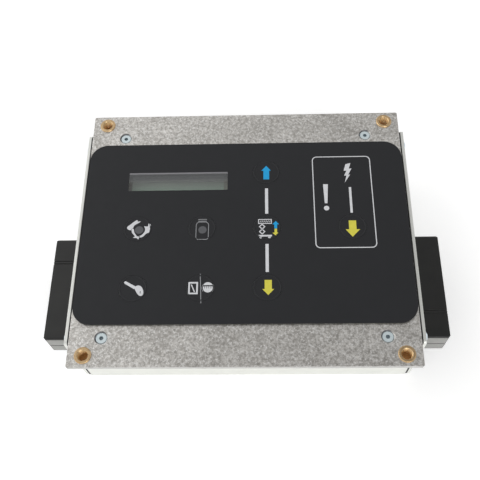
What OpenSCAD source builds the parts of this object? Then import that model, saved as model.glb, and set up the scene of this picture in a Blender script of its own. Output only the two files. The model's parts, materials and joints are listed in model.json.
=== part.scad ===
// Electronic control unit: a shallow aluminium box under a wide face plate. The plate carries a
// membrane keypad with eight round keys and a display window, and each end of the box has a
// plug header that stands out of its end panel.
// X runs left to right, Y front to back and Z up. The origin is at the centre of the underside.
// All lengths are in millimetres.

/* [Face plate] */
// Width of the face plate and of the box, left to right
plate_w = 230; // [228:1:300]
// Depth of the face plate, front to back
plate_d = 198; // [194:1:260]
// Thickness of the face plate
plate_t = 3.2; // [2.6:0.1:5]
// Radius of the corners of the face plate
plate_corner_r = 1.2; // [0.5:0.1:4]
// Height of the top face of the plate above the underside of the box
unit_h = 70; // [66:1:110]

/* [Housing] */
// Depth of the box, front to back
housing_d = 166.5; // [163:0.5:178]
// Thickness of the front and back walls
wall_t = 3; // [2:0.1:4]
// Thickness of the floor
floor_t = 3; // [2:0.1:5]
// Radius of the pillars that take the cover screws
cover_boss_r = 4.6; // [4.4:0.1:5.5]
// Radius of the bosses that take the end panel screws
end_boss_r = 5.5; // [5.4:0.1:6.5]
// Length of the bosses that take the end panel screws
end_boss_l = 14; // [11:1:20]

/* [End panels] */
// Thickness of the end panels
panel_t = 2; // [1.5:0.1:3]
// Drop of the end panels below the top face of the plate
panel_drop = 1.3; // [0.5:0.1:2.5]
// Height of the lower edge of the end panels above the underside
panel_rise = 0.5; // [0.2:0.1:2]
// Radius of the corners of the end panels
panel_corner_r = 2; // [0.5:0.1:4]
// Thickness of the rubber gaskets behind the end panels
gasket_t = 1.2; // [0.8:0.1:2]
// Width of the gasket band
gasket_band = 5; // [4:0.5:6]
// How far the gasket shows in front of and behind its panel
gasket_proud = 0; // [0:0.1:0.8]
// Drop of the gasket below the top edge of its panel
gasket_drop = 0.9; // [0.2:0.1:1.2]

/* [Fasteners] */
// Diameter of the cover screw and end panel screw threads
screw_d = 4; // [3.5:0.1:4.5]
// Diameter of the countersunk cover screw heads
cover_head_d = 7.6; // [7.4:0.1:8.4]
// Length of the cover screws
cover_screw_l = 14; // [10:1:20]
// Distance of the front cover screws from the ends of the plate
cover_screw_end = 21.5; // [21:0.1:30]
// Distance of the back cover screws from the ends of the plate
cover_screw_back_end = 25.3; // [21:0.1:30]
// Distance of the cover screws from the front and back faces of the box
cover_screw_in = 4.25; // [4:0.05:4.6]
// Diameter of the end panel screw heads
end_head_d = 7.5; // [7:0.1:8]
// Height of the end panel screw heads
end_head_h = 2.4; // [2:0.1:3]
// Length of the end panel screws under the head
end_screw_l = 12; // [9:0.5:14]
// Distance of the end panel screws from the front and back faces of the box
end_screw_in = 7.75; // [7.5:0.05:8]
// Height of the lower end panel screws above the underside
end_screw_low = 8; // [7.5:0.5:9]
// Drop of the upper end panel screws below the top face of the plate
end_screw_drop = 11; // [10:0.5:13]
// Outer diameter of the brass insert flanges
insert_flange_d = 11.4; // [10.6:0.1:13]
// Height of the insert flanges above the plate
insert_flange_h = 0.9; // [0.6:0.1:1.2]
// Diameter of the insert bodies
insert_body_d = 9; // [8.6:0.1:9.6]
// Diameter of the insert bores
insert_bore_d = 6.8; // [6:0.1:7.4]
// Length of the insert bodies below the flange
insert_l = 9; // [6:0.5:14]
// Thickness of the closed bottoms of the inserts
insert_floor_t = 1.2; // [0.8:0.1:2]
// Distance of the inserts from the ends of the plate
insert_edge_x = 10.5; // [9:0.5:14]
// Distance of the inserts from the front and back edges of the plate
insert_edge_y = 8; // [7:0.5:9]

/* [Keypad] */
// Depth of the printed overlay, front to back
overlay_d = 142.4; // [138:0.2:150]
// Offset of the overlay towards the back
overlay_y = 0.8; // [0:0.1:2]
// Distance of the overlay from the ends of the plate
overlay_gap = 0.3; // [0.1:0.1:2]
// Radius of the overlay corners
overlay_r = 13; // [6:0.5:20]
// Thickness of the overlay
overlay_t = 0.4; // [0.3:0.05:0.8]
// Thickness of the circuit layer
circuit_t = 0.3; // [0.2:0.05:0.6]
// Diameter of the round keys
key_d = 19.5; // [16:0.5:22]
// Gap all round each key
key_gap = 0.12; // [0.1:0.01:0.5]
// Travel of the keys
key_travel = 0.4; // [0.3:0.05:0.8]
// Height of the embossed rim of a key above its face
key_rim_h = 0.25; // [0.1:0.05:0.4]
// Radius of the embossed rim's round
key_rim_r = 0.6; // [0.5:0.05:0.9]
// Distance between neighbouring keys of the grid
key_pitch = 45.5; // [40:0.5:50]
// Place of the lift key column right of the plate centre
lift_key_x = 16; // [10:0.5:20]
// Place of the middle key row behind the plate centre
middle_key_y = 1; // [-3:0.5:3]
// Place of the auxiliary key right of the plate centre
aux_key_x = 75.7; // [68:0.1:84]
// Diameter of the contact disc under a key
contact_d = 12; // [8:0.5:14]
// Thickness of the contact disc
contact_t = 0.15; // [0.1:0.05:0.3]

/* [Display] */
// Width of the clear window
window_w = 72; // [60:0.5:80]
// Depth of the clear window
window_d = 15; // [12:0.5:18]
// Place of the window left of the plate centre
window_left = 48.2; // [46:0.1:52]
// Place of the window behind the plate centre
window_back = 39.7; // [36:0.1:42]
// Width of the border by which the window reaches under the overlay
window_lip = 3; // [2:0.5:4]
// Border of the plate's cut-out beyond the window
aperture_margin = 1; // [0.4:0.1:1.5]
// Width of the display board
display_board_w = 98; // [96:1:104]
// Depth of the display board
display_board_d = 44; // [42:1:46]
// Height of the display frame
bezel_h = 6; // [5:0.5:7]
// Thickness of the display glass
glass_t = 2.2; // [1.6:0.1:2.6]
// Drop of the glass below the rim of its frame
glass_drop = 1.2; // [0.8:0.1:1.6]
// Thickness of the foam gasket between display and plate
foam_t = 1; // [0.6:0.1:1.5]

/* [Headers] */
// Width of the headers, front to back
header_w = 78; // [74:0.5:80]
// Height of the headers
header_h = 23.8; // [22:0.1:26]
// Reach of the headers outside their end panels
header_reach = 21.2; // [18:0.1:28]
// Place of the headers in front of the centre
header_front = 33.2; // [32:0.1:34]
// Wall of the header shrouds
header_wall = 2.4; // [1.8:0.1:3]
// Radius of the outer corners of the headers
header_corner_r = 1.8; // [0.5:0.1:3]
// Chamfer of the header's upright edges at its mouth
header_chamfer = 1.5; // [0.5:0.1:2]
// Depth of the sockets from the mouth
socket_depth = 15.5; // [12:0.5:17]
// Distance of the dividing wall from the nearer end of the header
divider_in = 19; // [18:0.5:21]
// Thickness of the dividing wall between the two sockets
divider_t = 2.8; // [2:0.1:3.5]
// Height of the header's face above the board
header_lift = 3.5; // [3:0.1:6]
// Width of the flange round the header, inside the box
flange_margin = 3; // [2:0.1:3.2]
// Thickness of the flange
flange_t = 3; // [2:0.5:4]
// Thickness of the rubber seal in front of the flange
seal_t = 1.5; // [1.3:0.1:2]
// Length of the header's body behind the flange
block_l = 10; // [8:0.5:12]
// Spacing of the contact pins
pin_pitch = 5.08; // [4.8:0.02:5.2]
// Thickness of the contact pins
pin_t = 1.5; // [1:0.1:1.8]
// Length of the pins inside the sockets
pin_l = 9; // [6:0.5:10]
// Depth of the mould lines and seams
seam_depth = 0.6; // [0.3:0.1:1]
// Width of the mould lines and seams
seam_w = 0.8; // [0.4:0.1:1.2]

/* [Main board] */
// Thickness of the circuit boards
board_t = 1.6; // [1:0.1:2.4]
// Gap between the board and each end of the box
board_end_gap = 7; // [6:0.5:9]
// Gap between the board and the front and back walls
board_side_gap = 7.25; // [6:0.25:8]
// Width of the standoffs across their flats
standoff_flats = 6; // [5:0.5:7]
// Diameter of the board screw threads
board_screw_d = 3; // [2.5:0.1:3.2]
// Diameter of the board screw heads
board_head_d = 5.5; // [5:0.1:6]
// Height of the board screw heads
board_head_h = 2; // [1.5:0.1:2.5]
// Length of the board screws under the head
board_screw_l = 8; // [6:0.5:10]
// Thickness of the heat bar
heat_bar_t = 7; // [6:0.5:8]
// Height of the heat bar
heat_bar_h = 20; // [18:0.5:24]
// Length of the heat bar
heat_bar_l = 142; // [136:1:150]
// Number of power transistors on the heat bar
transistor_count = 8; // [4:1:8]
// Distance of the outer transistors from the ends of the heat bar
transistor_in = 15; // [14:0.5:18]

/* [Hidden] */
$fn = 48;
// Overrun of every cut past the face that it opens
cut = 1;
// Clearance of screws in their holes and of pins in the headers, all round
fit_gap = 0.05;
// Clearance of the window in its layers and of the header in its panel, all round
slip_gap = 0.2;

housing_w = plate_w;
housing_h = unit_h - plate_t;
inner_d = housing_d - 2 * wall_t;
panel_in = housing_w / 2 + gasket_t;
panel_out = panel_in + panel_t;
panel_top = unit_h - panel_drop;
panel_h = panel_top - panel_rise;

cover_screw_front_x = plate_w / 2 - cover_screw_end;
cover_screw_back_x = plate_w / 2 - cover_screw_back_end;
cover_screw_y = housing_d / 2 - cover_screw_in;
// Drop of the cover screw heads below the face of the plate
cover_head_drop = 0.7;
// Width of the hexagon sockets across their flats
socket_flats = 2.5;
// Depth of the hexagon sockets
hex_depth = 1.4;
end_screw_y = housing_d / 2 - end_screw_in;
end_screw_high = unit_h - end_screw_drop;
insert_x = plate_w / 2 - insert_edge_x;
insert_y = plate_d / 2 - insert_edge_y;
// Chamfer at the mouth of the inserts
insert_chamfer = 0.5;

circuit_z = unit_h;
// Gap that is left under a contact disc when its key is pressed
contact_gap = 0.05;
spacer_t = key_travel + contact_t + contact_gap;
spacer_z = circuit_z + circuit_t;
overlay_z = spacer_z + spacer_t;
overlay_w = plate_w - 2 * overlay_gap;
// Distance by which the hidden keypad layers stay behind the overlay's edge
layer_inset = 0.5;
key_names = ["speed", "fuel", "start", "glow", "up", "enable", "down", "aux"];
left_key_x = lift_key_x - 2 * key_pitch;
fuel_key_x = lift_key_x - key_pitch;
back_key_y = middle_key_y + key_pitch;
front_key_y = middle_key_y - key_pitch;
key_places = [
    [left_key_x, middle_key_y], [fuel_key_x, middle_key_y],
    [left_key_x, front_key_y], [fuel_key_x, front_key_y],
    [lift_key_x, back_key_y], [lift_key_x, middle_key_y], [lift_key_x, front_key_y],
    [aux_key_x, middle_key_y]
];
key_hole_d = key_d + 2 * key_gap;
// Place of the key's rim inside its edge
key_rim_in = 0.8;
// Width and thickness of the keypad's flat tail
tail_w = 24;
tail_t = 0.3;
// Place of the tail right of and in front of the centre
tail_x = 45;
tail_front = 58;
// Depth of the tail's slot in the plate, and the gap at its ends
tail_slot_d = 3;
tail_slot_gap = 1.6;
tail_slot_w = tail_w + 2 * tail_slot_gap;
// Sideways bow of the tail and of the display ribbon
tail_bow = 7;
ribbon_bow = 8;

window_x = -window_left;
aperture_w = window_w + 2 * aperture_margin;
aperture_d = window_d + 2 * aperture_margin;
lip_w = window_w + 2 * window_lip;
lip_d = window_d + 2 * window_lip;
// Radius of the window corners
window_r = 0.6;
bezel_top = housing_h - foam_t;
display_board_top = bezel_top - bezel_h;
display_board_z = display_board_top - board_t;
// Width of the display frame's metal at its ends and along its sides, and its wall
bezel_end = 2.4;
bezel_ledge = 4.8;
bezel_wall = 0.6;
bezel_w = aperture_w + 2 * bezel_end;
bezel_d = aperture_d + 2 * bezel_ledge;
glass_w = bezel_w - 2 * bezel_wall - 2 * slip_gap;
glass_d = bezel_d - 2 * bezel_wall - 2 * slip_gap;
glass_z = bezel_top - glass_drop - glass_t;
// Distance of the display studs from the edges of the display board
stud_in = 3.5;
stud_x = display_board_w / 2 - stud_in;
stud_y = display_board_d / 2 - stud_in;
stud_d = 2.5;
// Width across flats and height of the display nuts
nut_flats = 5;
nut_h = 2;
// Outer diameter of the display spacers
spacer_d = 4.6;
// Length of the stud beyond its nut
stud_tip = 1;

// The headers stand at half height, and the standoffs bring the board up to them
header_z = unit_h / 2;
board_top = header_z - header_h / 2 - header_lift;
board_z = board_top - board_t;
standoff_h = board_z - floor_t;
board_w = housing_w - 2 * board_end_gap;
board_d = inner_d - 2 * board_side_gap;
// Distances of the outer standoffs from the ends and sides of the board
standoff_in_x = 24;
standoff_in_y = 8;
standoff_x = board_w / 2 - standoff_in_x;
standoff_y = board_d / 2 - standoff_in_y;
standoff_places = [for (sx = [-1, 0, 1], sy = [-1, 1]) [sx * standoff_x, sy * standoff_y]];
// Diameter of the spigots that are pressed into the floor, and their drop from its underside
spigot_d = 4.2;
spigot_drop = 0.4;

seal_out = panel_t;
flange_out = seal_out + seal_t;
block_out = flange_out + flange_t;
block_back = block_out + block_l;
// Place of the dividing wall along the header, from its middle
divider_y = -header_w / 2 + divider_in;
small_socket_w = divider_in - divider_t / 2 - header_wall;
large_socket_w = header_w - divider_in - divider_t / 2 - header_wall;
small_socket_y = -header_w / 2 + header_wall + small_socket_w / 2;
large_socket_y = header_w / 2 - header_wall - large_socket_w / 2;
socket_h = header_h - 2 * header_wall;
// Polarising ribs in the sockets
rib_w = 2;
rib_h = 1;
socket_floor = header_reach - socket_depth;
pin_rows = 3;
small_columns = 3;
large_columns = 10;
// First and next distance of the pin tails behind the header
tail_first = 2.6;
tail_step = 3;
// Reach of pin tails and legs below the board
solder_l = 1.2;
// Places of the pins along the header
pin_ys = concat(
    [for (c = [0 : small_columns - 1]) small_socket_y + (c - (small_columns - 1) / 2) * pin_pitch],
    [for (c = [0 : large_columns - 1]) large_socket_y + (c - (large_columns - 1) / 2) * pin_pitch]
);

// Height of the heat bar above the board
heat_bar_lift = 3;
heat_bar_z = board_top + heat_bar_lift;
heat_bar_y = inner_d / 2 - heat_bar_t;
// Moulded body, metal tab and legs of a power transistor
transistor_w = 10.2;
transistor_h = 9.2;
transistor_d = 4.4;
tab_t = 1.3;
tab_h = 6.4;
// Height of the transistor bodies above the board
transistor_lift = 4;
transistor_z = board_top + transistor_lift;
tab_hole_z = transistor_z + transistor_h + tab_h / 2;
leg_pitch = 2.54;
leg_w = 0.8;
leg_y = heat_bar_y - transistor_d / 2;
transistor_pitch = (heat_bar_l - 2 * transistor_in) / (transistor_count - 1);
transistor_xs = [for (i = [0 : transistor_count - 1])
    (i - (transistor_count - 1) / 2) * transistor_pitch];
// Distance of the heat bar screws from the ends of the bar
bar_screw_in = 5;
bar_screw_x = heat_bar_l / 2 - bar_screw_in;
// Length of the transistor screws under the head
transistor_screw_l = 7;
// Reach of the heat bar screws into the back wall
wall_bite = 1.5;
// Width of the cross recesses of the small screws
recess_w = 0.8;

// Places of parts on the main board, as shares of its width and depth from its centre
large_capacitor_shares = [[0.24, -0.12], [0.33, -0.12], [0.24, 0.06]];
small_capacitor_shares = [[-0.12, -0.36], [-0.04, -0.36], [-0.27, 0.26], [-0.2, 0.26]];
relay_shares = [[-0.33, -0.2], [-0.21, -0.2], [-0.33, 0.0]];
processor_share = [-0.02, -0.08];
driver_shares = [[0.1, 0.24], [0.2, 0.24], [0.3, 0.24], [-0.12, 0.02], [0.1, 0.12]];
large_capacitor_d = 16;
large_capacitor_h = 25;
small_capacitor_d = 10;
small_capacitor_h = 16;
// Rounding at the foot and head of a capacitor, and its vent marks
can_round = 0.8;
vent_depth = 0.3;
relay_size = [19, 15.5, 16];
relay_chamfer = 1;
processor_w = 20;
processor_leads = 12;
chip_h = 2;
chip_size = [10, 6, chip_h];
lead_w = 0.45;
lead_l = 1.4;
lead_t = 0.3;
chip_leads = 5;
lead_pitch = 1.27;
// Sockets of the keypad tail and of the display ribbon
socket_size = [30, 6, 5.5];
socket_slot_depth = 3.5;
ribbon_w = 22;
ribbon_t = 1;
// Room between the display studs and the ribbon's sockets
ribbon_room = 6;
ribbon_x = window_x + stud_x - ribbon_room - socket_size.x / 2;
ribbon_y = window_back - display_board_d / 2 + socket_size.y / 2 + fit_gap;

// Helpers

module round_rect(w, d, r) {
    square([w - 2 * r, d], center = true);
    square([w, d - 2 * r], center = true);
    for (sx = [-1, 1], sy = [-1, 1])
        translate([sx * (w / 2 - r), sy * (d / 2 - r)])
            circle(r = r);
}

module slab(w, d, h, r) {
    linear_extrude(h)
        round_rect(w, d, r);
}

// Extrudes a drawing in the Y and Z directions along X
module along_x(l) {
    rotate([90, 0, 90])
        linear_extrude(l)
            children();
}

module block_at(size) {
    translate([-size.x / 2, -size.y / 2, 0])
        cube(size);
}

module hexagon(flats, h) {
    cylinder(d = flats / cos(30), h = h, $fn = 6);
}

module at_corners(x, y) {
    for (sx = [-1, 1], sy = [-1, 1])
        translate([sx * x, sy * y, 0])
            children();
}

// Puts a piece that is drawn for the right end at the right or the left end
module at_end(side) {
    rotate([0, 0, side > 0 ? 0 : 180])
        children();
}

// Housing

module end_screw_axes(side) {
    for (sy = [-1, 1], z = [end_screw_low, end_screw_high])
        translate([side * panel_out, sy * end_screw_y, z])
            rotate([0, side * 90, 0])
                children();
}

module housing() {
    color([0.86, 0.86, 0.84])
        difference() {
            union() {
                difference() {
                    translate([-housing_w / 2, -housing_d / 2, 0])
                        cube([housing_w, housing_d, housing_h]);
                    translate([-housing_w / 2 - cut, -inner_d / 2, floor_t])
                        cube([housing_w + 2 * cut, inner_d, housing_h]);
                }
                intersection() {
                    translate([-housing_w / 2, -housing_d / 2, 0])
                        cube([housing_w, housing_d, housing_h]);
                    union() {
                        at_cover_screws()
                            cylinder(r = cover_boss_r, h = housing_h);
                        for (sx = [-1, 1], sy = [-1, 1], z = [end_screw_low, end_screw_high])
                            translate([sx * (housing_w / 2 - end_boss_l / 2), sy * end_screw_y, z])
                                end_boss(sy);
                    }
                }
            }
            for (sx = [-1, 1])
                translate([sx * (housing_w / 2 - end_boss_l / 2) - end_boss_l / 2 - cut, 0, 0])
                    along_x(end_boss_l + 2 * cut)
                        header_cut(flange_margin + slip_gap);
            at_corners(insert_x, insert_y)
                translate([0, 0, unit_h - insert_l - slip_gap])
                    cylinder(d = insert_body_d + 2 * slip_gap, h = insert_l + cut);
            at_cover_screws()
                translate([0, 0, unit_h - cover_screw_l - cut])
                    cylinder(d = screw_d + 2 * fit_gap, h = cover_screw_l + 2 * cut);
            for (side = [-1, 1])
                end_screw_axes(side)
                    translate([0, 0, -end_screw_l - cut])
                        cylinder(d = screw_d + 2 * fit_gap, h = end_screw_l + 2 * cut);
            for (p = standoff_places)
                translate([p.x, p.y, -cut])
                    cylinder(d = spigot_d + 2 * fit_gap, h = floor_t + 2 * cut);
            for (sx = [-1, 1])
                translate([sx * bar_screw_x, inner_d / 2 - cut, heat_bar_z + heat_bar_h / 2])
                    rotate([-90, 0, 0])
                        cylinder(d = board_screw_d + 2 * fit_gap, h = wall_bite + cut + fit_gap);
        }
}

module at_cover_screws() {
    for (sx = [-1, 1]) {
        translate([sx * cover_screw_front_x, -cover_screw_y, 0])
            children();
        translate([sx * cover_screw_back_x, cover_screw_y, 0])
            children();
    }
}

module end_boss(sy) {
    rotate([0, 90, 0])
        cylinder(r = end_boss_r, h = end_boss_l, center = true);
    translate([-end_boss_l / 2, sy > 0 ? 0 : -end_screw_in + wall_t / 2, -end_boss_r])
        cube([end_boss_l, end_screw_in - wall_t / 2, 2 * end_boss_r]);
}

// Face plate and its fasteners

module face_plate() {
    color([0.74, 0.73, 0.70])
        difference() {
            translate([0, 0, housing_h])
                slab(plate_w, plate_d, plate_t, plate_corner_r);
            at_corners(insert_x, insert_y)
                translate([0, 0, housing_h - cut])
                    cylinder(d = insert_body_d + 2 * fit_gap, h = plate_t + 2 * cut);
            at_cover_screws()
                translate([0, 0, unit_h - cover_head_drop])
                    cover_screw_form(fit_gap);
            translate([window_x, window_back, housing_h - cut])
                slab(aperture_w, aperture_d, plate_t + 2 * cut, window_r);
            translate([tail_x, -tail_front, housing_h - cut])
                slab(tail_slot_w, tail_slot_d, plate_t + 2 * cut, tail_slot_d / 4);
        }
}

// A countersunk screw with its head's face at zero, grown all round by a gap to cut its seat
module cover_screw_form(gap) {
    head_h = (cover_head_d - screw_d) / 2;
    translate([0, 0, -head_h])
        cylinder(d1 = screw_d + 2 * gap, d2 = cover_head_d + 2 * gap, h = head_h);
    translate([0, 0, -cover_screw_l + cover_head_drop])
        cylinder(d = screw_d + 2 * gap, h = cover_screw_l - cover_head_drop);
    if (gap > 0)
        cylinder(d1 = cover_head_d + 2 * gap,
            d2 = cover_head_d + 2 * (gap + cover_head_drop + cut), h = cover_head_drop + cut);
}

module cover_screws() {
    color([0.80, 0.83, 0.84])
        at_cover_screws()
            translate([0, 0, unit_h - cover_head_drop])
                difference() {
                    cover_screw_form(0);
                    translate([0, 0, -hex_depth])
                        hexagon(socket_flats, hex_depth + cut);
                }
}

module threaded_inserts() {
    color([0.83, 0.68, 0.42])
        at_corners(insert_x, insert_y)
            translate([0, 0, unit_h])
                difference() {
                    union() {
                        translate([0, 0, -insert_l])
                            cylinder(d = insert_body_d, h = insert_l + insert_flange_h / 2);
                        cylinder(d = insert_flange_d, h = insert_flange_h / 2);
                        translate([0, 0, insert_flange_h / 2])
                            cylinder(d1 = insert_flange_d, d2 = insert_flange_d - insert_flange_h,
                                h = insert_flange_h / 2);
                    }
                    translate([0, 0, -insert_l + insert_floor_t])
                        cylinder(d = insert_bore_d, h = insert_l + insert_flange_h);
                    translate([0, 0, insert_flange_h - insert_chamfer])
                        cylinder(d1 = insert_bore_d, d2 = insert_bore_d + 2 * insert_chamfer,
                            h = insert_chamfer);
                }
}

// End panels

module header_cut(gap) {
    translate([-header_front, header_z])
        round_rect(header_w + 2 * gap, header_h + 2 * gap, header_corner_r + gap);
}

module end_panel(side) {
    color([0.90, 0.90, 0.88])
        difference() {
            translate([side > 0 ? panel_in : -panel_out, 0, 0])
                along_x(panel_t)
                    difference() {
                        translate([0, panel_rise + panel_h / 2])
                            round_rect(housing_d, panel_h, panel_corner_r);
                        header_cut(slip_gap);
                    }
            end_screw_axes(side)
                translate([0, 0, -panel_t - cut])
                    cylinder(d = screw_d + 2 * slip_gap, h = panel_t + 2 * cut);
        }
}

module gasket_frame(gasket_h, inside) {
    difference() {
        round_rect(housing_d + 2 * gasket_proud, gasket_h, panel_corner_r);
        round_rect(housing_d - 2 * gasket_band, gasket_h - 2 * inside, panel_corner_r);
    }
}

module end_gasket(side) {
    gasket_h = panel_h - gasket_drop;
    inside = gasket_band + gasket_proud;
    color([0.06, 0.06, 0.06])
        difference() {
            translate([side > 0 ? housing_w / 2 : -panel_in, 0, 0])
                along_x(gasket_t)
                    difference() {
                        union() {
                            translate([0, panel_rise + gasket_h / 2])
                                gasket_frame(gasket_h, inside);
                            for (sy = [-1, 1], z = [end_screw_low, end_screw_high])
                                translate([sy * end_screw_y, z])
                                    circle(r = end_boss_r);
                        }
                        header_cut(flange_margin + slip_gap);
                    }
            end_screw_axes(side)
                translate([0, 0, -panel_t - gasket_t - cut])
                    cylinder(d = screw_d + 2 * slip_gap, h = panel_t + gasket_t + 2 * cut);
        }
}

module end_panel_screws() {
    color([0.80, 0.82, 0.83])
        for (side = [-1, 1])
            end_screw_axes(side)
                difference() {
                    union() {
                        translate([0, 0, -end_screw_l])
                            cylinder(d = screw_d, h = end_screw_l);
                        cylinder(d = end_head_d, h = end_head_h / 2);
                        translate([0, 0, end_head_h / 2])
                            cylinder(d1 = end_head_d, d2 = end_head_d - end_head_h, h = end_head_h / 2);
                    }
                    translate([0, 0, end_head_h - hex_depth])
                        hexagon(socket_flats, hex_depth + cut);
                }
}

// Headers, drawn for the right end with X zero at the outer face of the end panel

module place_header(side) {
    translate([side * panel_out, -header_front, header_z])
        at_end(side)
            children();
}

module socket_space(w) {
    translate([socket_floor, 0, 0])
        difference() {
            along_x(socket_depth + cut)
                round_rect(w, socket_h, header_corner_r / 2);
            for (sz = [-1, 1])
                translate([0, -rib_w / 2, sz * socket_h / 2 - rib_h])
                    cube([socket_depth - rib_w, rib_w, 2 * rib_h]);
        }
}

module seam_bar(depth, w) {
    translate([0, -w / 2, -depth / 2])
        cube([header_reach + cut, w, depth]);
}

// Two seams beside the dividing wall, and the mould line round the ends
module header_seams() {
    for (s = [-1, 1], sz = [-1, 1])
        translate([0, divider_y + s * (divider_t - seam_w) / 2, sz * header_h / 2])
            seam_bar(2 * seam_depth, seam_w);
    for (sy = [-1, 1])
        translate([0, sy * header_w / 2, 0])
            rotate([90, 0, 0])
                seam_bar(2 * seam_depth, seam_w);
}

module header_mouth_cuts() {
    for (sy = [-1, 1])
        translate([header_reach - header_chamfer / 2, sy * (header_w - header_chamfer) / 2, 0])
            rotate([0, 0, sy * 45])
                translate([0, -header_chamfer, -header_h / 2 - cut])
                    cube([header_chamfer, 2 * header_chamfer, header_h + 2 * cut]);
}

module header_shell(side) {
    shell_drop = header_lift + header_h / 2;
    color([0.13, 0.13, 0.13])
        place_header(side)
            difference() {
                union() {
                    translate([-flange_out, 0, 0])
                        along_x(flange_out + header_reach)
                            round_rect(header_w, header_h, header_corner_r);
                    translate([-block_out, 0, 0])
                        along_x(flange_t)
                            round_rect(header_w + 2 * flange_margin, header_h + 2 * flange_margin,
                                header_corner_r);
                    translate([-block_back, -header_w / 2, -shell_drop])
                        cube([block_l, header_w, shell_drop + header_h / 2]);
                }
                translate([0, small_socket_y, 0])
                    socket_space(small_socket_w);
                translate([0, large_socket_y, 0])
                    socket_space(large_socket_w);
                header_seams();
                header_mouth_cuts();
                for (y = pin_ys, row = [0 : pin_rows - 1])
                    translate([-block_back - cut, y, pin_z(row)])
                        pin_bar(block_back + socket_floor + 2 * cut, fit_gap);
            }
}

function pin_z(row) = (row - (pin_rows - 1) / 2) * pin_pitch;

function pin_tail_x(row) = -block_back - tail_first - row * tail_step;

module pin_bar(l, gap) {
    side = pin_t + 2 * gap;
    translate([0, -side / 2, -side / 2])
        cube([l, side, side]);
}

module header_pins(side) {
    board_under = board_z - header_z - solder_l;
    color([0.80, 0.76, 0.62])
        place_header(side)
            for (y = pin_ys, row = [0 : pin_rows - 1]) {
                tail = pin_tail_x(row);
                translate([tail - pin_t / 2, y, pin_z(row)])
                    pin_bar(socket_floor + pin_l - tail + pin_t / 2, 0);
                translate([tail - pin_t / 2, y - pin_t / 2, board_under])
                    cube([pin_t, pin_t, pin_z(row) - board_under]);
            }
}

module header_seal(side) {
    color([0.20, 0.20, 0.20])
        place_header(side)
            translate([-flange_out, 0, 0])
                along_x(seal_t)
                    difference() {
                        round_rect(header_w + 2 * flange_margin, header_h + 2 * flange_margin,
                            header_corner_r);
                        round_rect(header_w + 2 * fit_gap, header_h + 2 * fit_gap, header_corner_r);
                    }
}

// Keypad layers

module key_holes(d) {
    for (p = key_places)
        translate(p)
            circle(d = d);
}

module overlay_outline(inset) {
    translate([0, overlay_y])
        round_rect(overlay_w - 2 * inset, overlay_d - 2 * inset, overlay_r - inset);
}

module panel_overlay() {
    color([0.13, 0.13, 0.14])
        translate([0, 0, overlay_z])
            linear_extrude(overlay_t)
                difference() {
                    overlay_outline(0);
                    key_holes(key_hole_d);
                    translate([window_x, window_back])
                        round_rect(window_w + 2 * fit_gap, window_d + 2 * fit_gap, window_r);
                }
}

module display_window() {
    color([0.55, 0.60, 0.58, 0.5])
        translate([window_x, window_back, 0]) {
            translate([0, 0, spacer_z])
                slab(lip_w, lip_d, spacer_t, window_r);
            translate([0, 0, spacer_z])
                slab(window_w, window_d, spacer_t + overlay_t, window_r);
        }
}

module keypad_spacer() {
    color([0.85, 0.85, 0.80])
        translate([0, 0, spacer_z])
            linear_extrude(spacer_t)
                difference() {
                    overlay_outline(layer_inset);
                    key_holes(key_hole_d);
                    translate([window_x, window_back])
                        round_rect(lip_w + 2 * slip_gap, lip_d + 2 * slip_gap, window_r);
                }
}

module keypad_circuit() {
    color([0.75, 0.70, 0.45])
        translate([0, 0, circuit_z])
            linear_extrude(circuit_t)
                difference() {
                    overlay_outline(layer_inset);
                    translate([window_x, window_back])
                        round_rect(aperture_w, aperture_d, window_r);
                }
}

// A key is a disc of the printed film with an embossed rim
module key_cap(i) {
    rim_x = key_d / 2 - key_rim_in;
    color([0.15, 0.15, 0.16])
        translate([key_places[i].x, key_places[i].y, overlay_z])
            rotate_extrude($fn = 96)
                intersection() {
                    union() {
                        square([key_d / 2, overlay_t]);
                        translate([rim_x, overlay_t + key_rim_h - key_rim_r])
                            circle(r = key_rim_r);
                    }
                    square([key_d, overlay_t + key_rim_h]);
                }
}

module key_contact(i) {
    color([0.75, 0.75, 0.72])
        translate([key_places[i].x, key_places[i].y, overlay_z - contact_t])
            cylinder(d = contact_d, h = contact_t);
}

// A flat strip that hangs between two heights and bows to one side
module hanging_strip(w, t, low, high, bow) {
    steps = 24;
    side_ys = [for (i = [0 : steps]) bow * (1 - cos(360 * i / steps)) / 2];
    zs = [for (i = [0 : steps]) low + (high - low) * i / steps];
    translate([-w / 2, 0, 0])
        along_x(w)
            polygon(concat(
                [for (i = [0 : steps]) [side_ys[i] - t / 2, zs[i]]],
                [for (i = [steps : -1 : 0]) [side_ys[i] + t / 2, zs[i]]]
            ));
}

module strip_socket(slot_w, slot_t) {
    difference() {
        block_at(socket_size);
        translate([0, 0, socket_size.z - socket_slot_depth])
            block_at([slot_w + 2 * slip_gap, slot_t + 2 * slip_gap, socket_slot_depth + cut]);
    }
}

module keypad_tail() {
    foot = board_top + socket_size.z - socket_slot_depth + fit_gap;
    straight = socket_slot_depth;
    color([0.80, 0.60, 0.30])
        translate([tail_x, -tail_front, 0]) {
            translate([-tail_w / 2, -tail_t / 2, foot])
                cube([tail_w, tail_t, straight]);
            hanging_strip(tail_w, tail_t, foot + straight, housing_h - straight, tail_bow);
            translate([-tail_w / 2, -tail_t / 2, housing_h - straight])
                cube([tail_w, tail_t, circuit_z - housing_h + straight]);
        }
}

module tail_socket() {
    color([0.92, 0.90, 0.82])
        translate([tail_x, -tail_front, board_top])
            strip_socket(tail_w, tail_t);
}

// Display

module display_foam() {
    color([0.12, 0.12, 0.12])
        translate([window_x, window_back, bezel_top])
            linear_extrude(foam_t)
                difference() {
                    round_rect(bezel_w, bezel_d, window_r);
                    round_rect(aperture_w, aperture_d, window_r);
                }
}

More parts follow.
